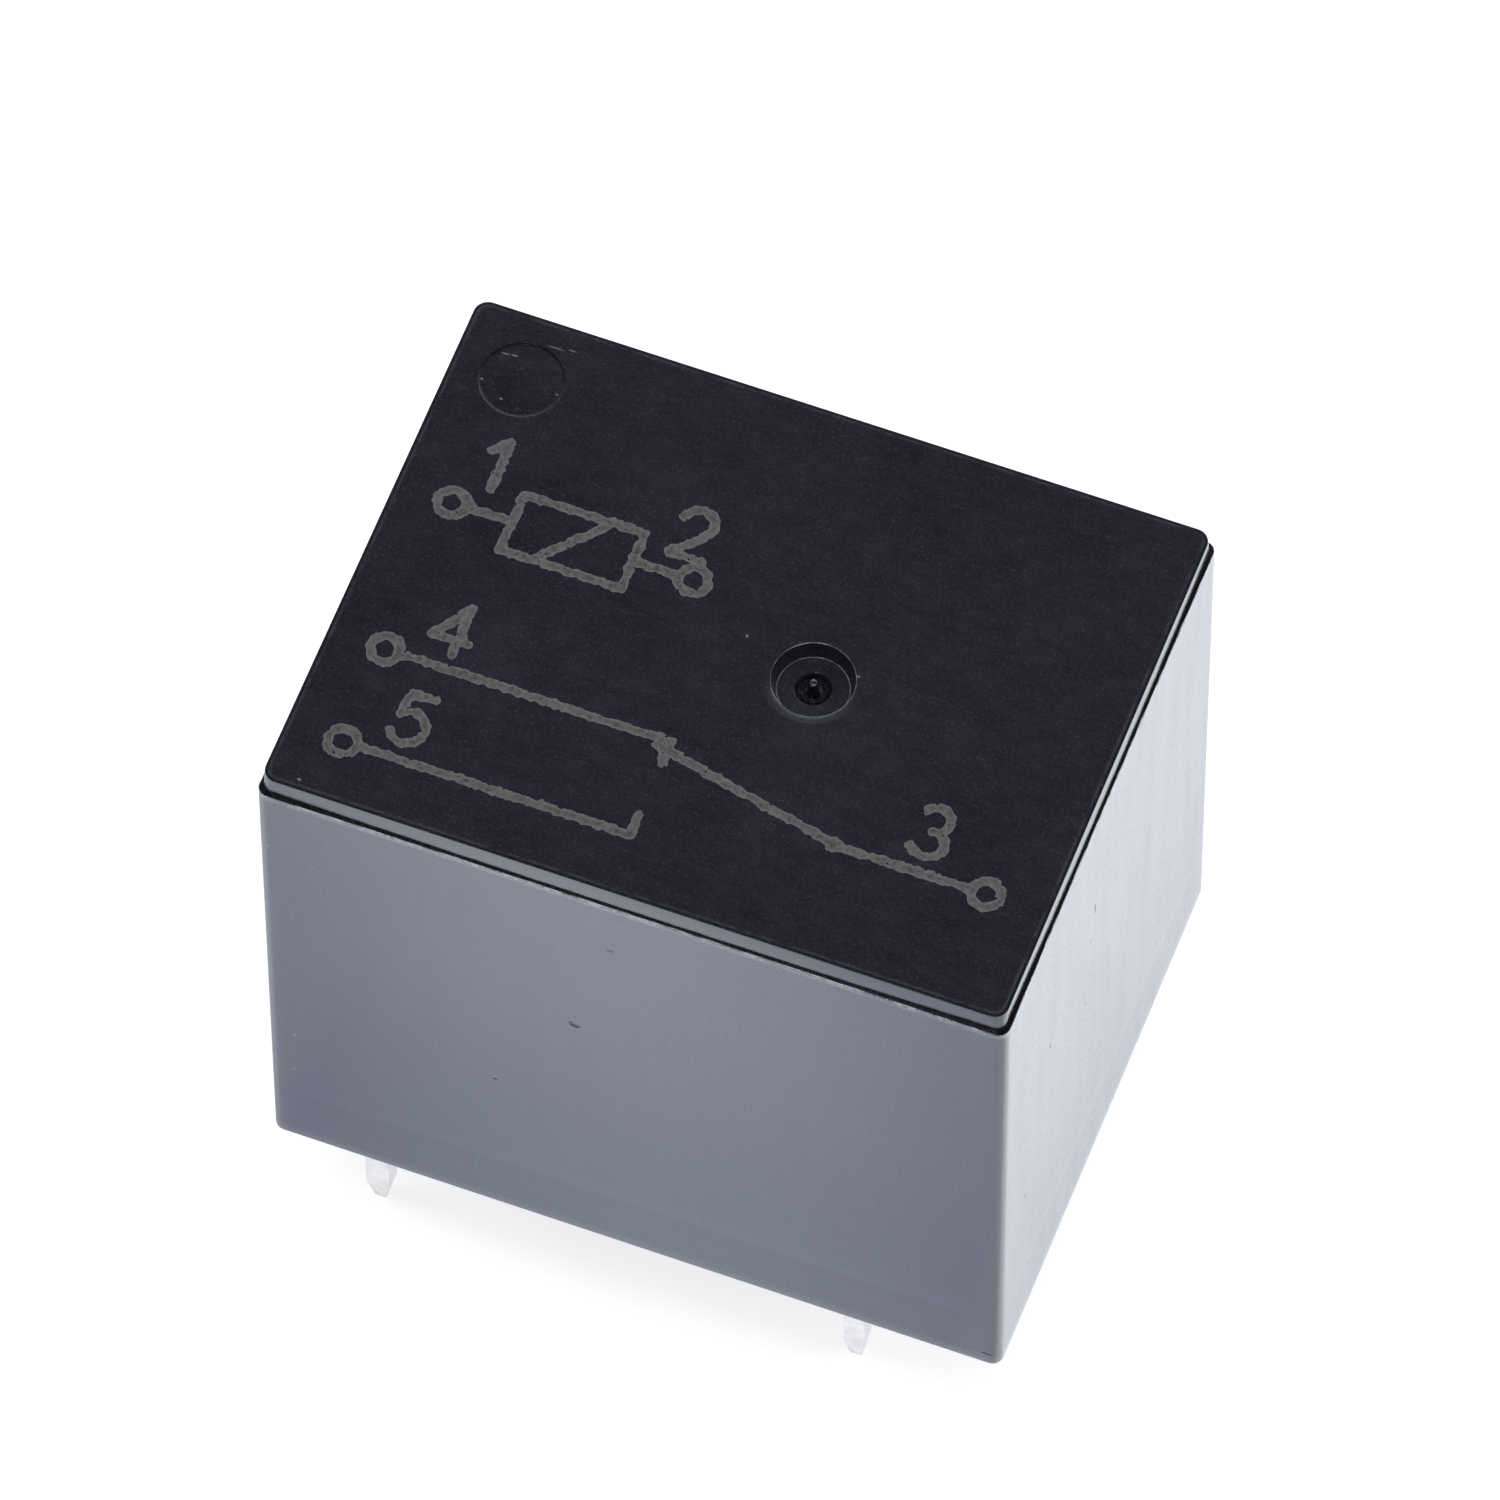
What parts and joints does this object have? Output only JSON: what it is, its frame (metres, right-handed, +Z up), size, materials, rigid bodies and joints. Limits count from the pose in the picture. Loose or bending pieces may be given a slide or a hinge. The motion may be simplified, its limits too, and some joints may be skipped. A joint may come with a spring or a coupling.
{
  "type": "pcb power relay",
  "caption": "Sealed box-shaped changeover relay for a circuit board: a coil pulls a hinged armature, and its leaf spring moves a contact between two fixed contacts.",
  "frame": {"origin": "middle of the cover's rim, in the plane where it sits on the circuit board", "axes": "+Z up from the board, +X along the cover from the contact end to the hinge end, Y across the cover"},
  "size_m": [0.0208, 0.016, 0.0229],
  "materials": {
    "cover_plastic": "satin",
    "base_plastic": "matte",
    "resin": "gloss",
    "bobbin_nylon": "satin",
    "enamelled_wire": "gloss",
    "solder_tin": "satin",
    "tinned_pin": "satin",
    "plated_iron": "satin",
    "spring_bronze": "satin",
    "contact_silver": "satin",
    "tinned_copper": "satin"
  },
  "bodies": {
    "frame": {"cover": "cover_plastic", "base": "base_plastic", "resin_seal": "resin", "bobbin": "bobbin_nylon", "coil_winding": "enamelled_wire", "coil_lead_a": "enamelled_wire", "coil_lead_b": "enamelled_wire", "solder_a": "solder_tin", "solder_b": "solder_tin", "coil_pin_a": "tinned_pin", "coil_pin_b": "tinned_pin", "core": "plated_iron", "yoke": "plated_iron", "nc_terminal": "tinned_copper", "nc_contact": "contact_silver", "no_terminal": "tinned_copper", "no_contact": "contact_silver", "com_terminal": "tinned_copper"},
    "armature": {"armature": "plated_iron", "contact_spring": "spring_bronze", "moving_contact": "contact_silver"}
  },
  "joints": [
    {"name": "armature_pivot", "type": "hinge", "parent": "frame", "child": "armature", "pos_m": [0.0084, 0, 0.01297], "axis": [0, -1, 0], "range_deg": [0, 3], "stiffness_Nm_per_rad": 0.01, "springref_deg": -11.46, "deforming": ["contact_spring"]}
  ]
}
